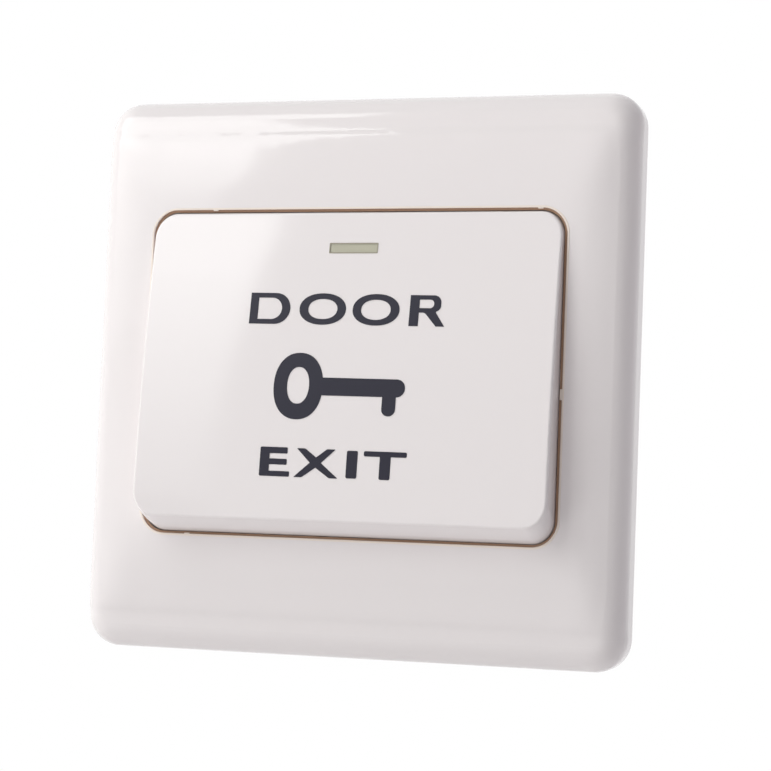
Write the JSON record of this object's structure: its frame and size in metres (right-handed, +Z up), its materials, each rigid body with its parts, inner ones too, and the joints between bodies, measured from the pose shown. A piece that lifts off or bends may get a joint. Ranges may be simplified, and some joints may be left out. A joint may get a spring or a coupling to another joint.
{
  "type": "door exit button",
  "caption": "Square wall plate with a wide sprung rocker, tilted bottom edge out, that works a push contact in a housing behind the plate.",
  "frame": {"origin": "middle of the plate on the wall plane, half way between the two wall screws", "axes": "+Z up, +X to the right seen from the room, +Y into the wall; the rocker faces -Y"},
  "size_m": [0.086, 0.0288, 0.086],
  "materials": {
    "frame_plastic": "polished white moulding",
    "glow_plastic": "pale olive translucent insert",
    "base_plastic": "fine matt white moulding",
    "plunger_plastic": "satin light grey moulding",
    "contact_brass": "stamped strip",
    "contact_silver": "rivet faced with silver alloy",
    "spring_steel": "drawn wire",
    "plated_steel": "zinc plated"
  },
  "bodies": {
    "base": {"base_plate": "base_plastic", "contact_housing": "base_plastic", "front_frame": "frame_plastic", "rear_cover": "base_plastic", "rear_cover_screws": "plated_steel", "terminal_left": "contact_brass", "terminal_right": "contact_brass", "fixed_tip_left": "contact_silver", "fixed_tip_right": "contact_silver", "wire_clamp_left": "plated_steel", "wire_clamp_right": "plated_steel", "terminal_screws": "plated_steel", "return_spring": "spring_steel"},
    "rocker": {"rocker": "frame_plastic", "glow_strip": "glow_plastic"},
    "plunger": {"plunger": "plunger_plastic", "contact_bridge": "contact_brass", "bridge_tip_left": "contact_silver", "bridge_tip_right": "contact_silver", "contact_spring": "spring_steel", "bridge_clip": "spring_steel"}
  },
  "joints": [
    {"name": "rocker_press", "type": "hinge", "parent": "base", "child": "rocker", "pos_m": [0, -0.0008, 0], "axis": [1, 0, 0], "range_deg": [0, 6], "stiffness_Nm_per_rad": 0.1, "springref_deg": -11.46},
    {"name": "plunger_slide", "type": "slide", "parent": "base", "child": "plunger", "axis": [0, 1, 0], "range_m": [0, 0.0015], "deforming": ["return_spring"]}
  ],
  "couplings": [
    {"joint": "plunger_slide", "follows": "rocker_press", "m_per_rad": 0.013}
  ]
}
